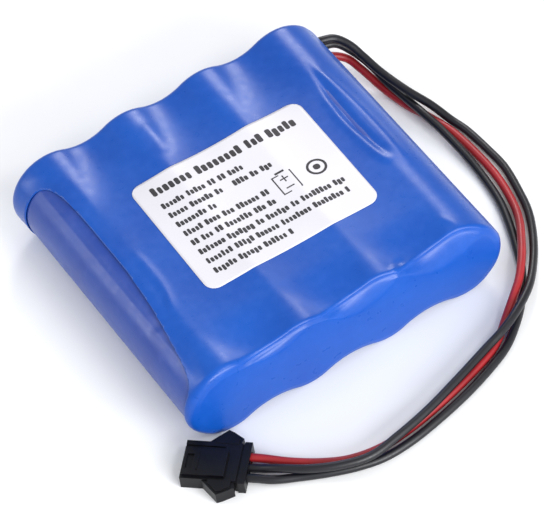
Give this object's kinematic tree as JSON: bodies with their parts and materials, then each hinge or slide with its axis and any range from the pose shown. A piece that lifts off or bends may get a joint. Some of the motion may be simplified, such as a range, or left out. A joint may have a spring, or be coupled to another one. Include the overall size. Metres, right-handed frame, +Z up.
{
  "type": "battery pack",
  "caption": "Flat rechargeable battery pack: round cells side by side in a blue shrink sleeve with a white label, and insulated leads to a small plug housing.",
  "frame": {"origin": "middle of the underside of the pack, leads and connector left out", "axes": "+X across the cells towards the side the leads leave from, +Y along the cells towards the end with the protection board, +Z up through the label"},
  "size_m": [0.0986, 0.0978, 0.0194],
  "materials": {
    "sleeve_film": "glossy heat-shrink film",
    "label_stock": "satin self-adhesive label",
    "cell_steel": "nickel-plated drawn steel",
    "electrode_roll": "wound coated foils",
    "cell_gasket": "moulded seal",
    "cell_ring": "fibre washer",
    "cell_wrap": "shrunk cell wrap",
    "hot_melt": "cast bead",
    "nickel_strip": "bright strip",
    "insulating_paper": "barley paper",
    "sense_wire": "extruded insulation",
    "circuit_board": "solder-masked laminate",
    "chip_body": "moulded epoxy",
    "connector_plastic": "moulded, fine satin",
    "terminal_metal": "tinned",
    "lead_red": "extruded insulation",
    "lead_black": "extruded insulation"
  },
  "bodies": {
    "root": {"cell_1_can": "cell_steel", "cell_1_cap": "cell_steel", "cell_1_gasket": "cell_gasket", "cell_1_ring": "cell_ring", "cell_1_roll": "electrode_roll", "cell_1_wrap": "cell_wrap", "cell_2_can": "cell_steel", "cell_2_cap": "cell_steel", "cell_2_gasket": "cell_gasket", "cell_2_ring": "cell_ring", "cell_2_roll": "electrode_roll", "cell_2_wrap": "cell_wrap", "cell_3_can": "cell_steel", "cell_3_cap": "cell_steel", "cell_3_gasket": "cell_gasket", "cell_3_ring": "cell_ring", "cell_3_roll": "electrode_roll", "cell_3_wrap": "cell_wrap", "cell_4_can": "cell_steel", "cell_4_cap": "cell_steel", "cell_4_gasket": "cell_gasket", "cell_4_ring": "cell_ring", "cell_4_roll": "electrode_roll", "cell_4_wrap": "cell_wrap", "connector_housing": "connector_plastic", "far_insulator": "insulating_paper", "front_insulator": "insulating_paper", "glue_bead_1": "hot_melt", "glue_bead_2": "hot_melt", "glue_bead_3": "hot_melt", "label": "label_stock", "lead_black_lower": "lead_black", "lead_black_upper": "lead_black", "lead_red": "lead_red", "link_cells_1_2": "nickel_strip", "link_cells_2_3": "nickel_strip", "link_cells_3_4": "nickel_strip", "mosfet_charge": "chip_body", "mosfet_discharge": "chip_body", "protection_board": "circuit_board", "protection_ic": "chip_body", "sense_resistor": "chip_body", "sense_wire_1": "sense_wire", "sense_wire_3": "sense_wire", "shrink_sleeve": "sleeve_film", "tab_negative": "nickel_strip", "tab_positive": "nickel_strip", "terminal_1": "terminal_metal", "terminal_2": "terminal_metal", "terminal_3": "terminal_metal"}
  },
  "joints": []
}
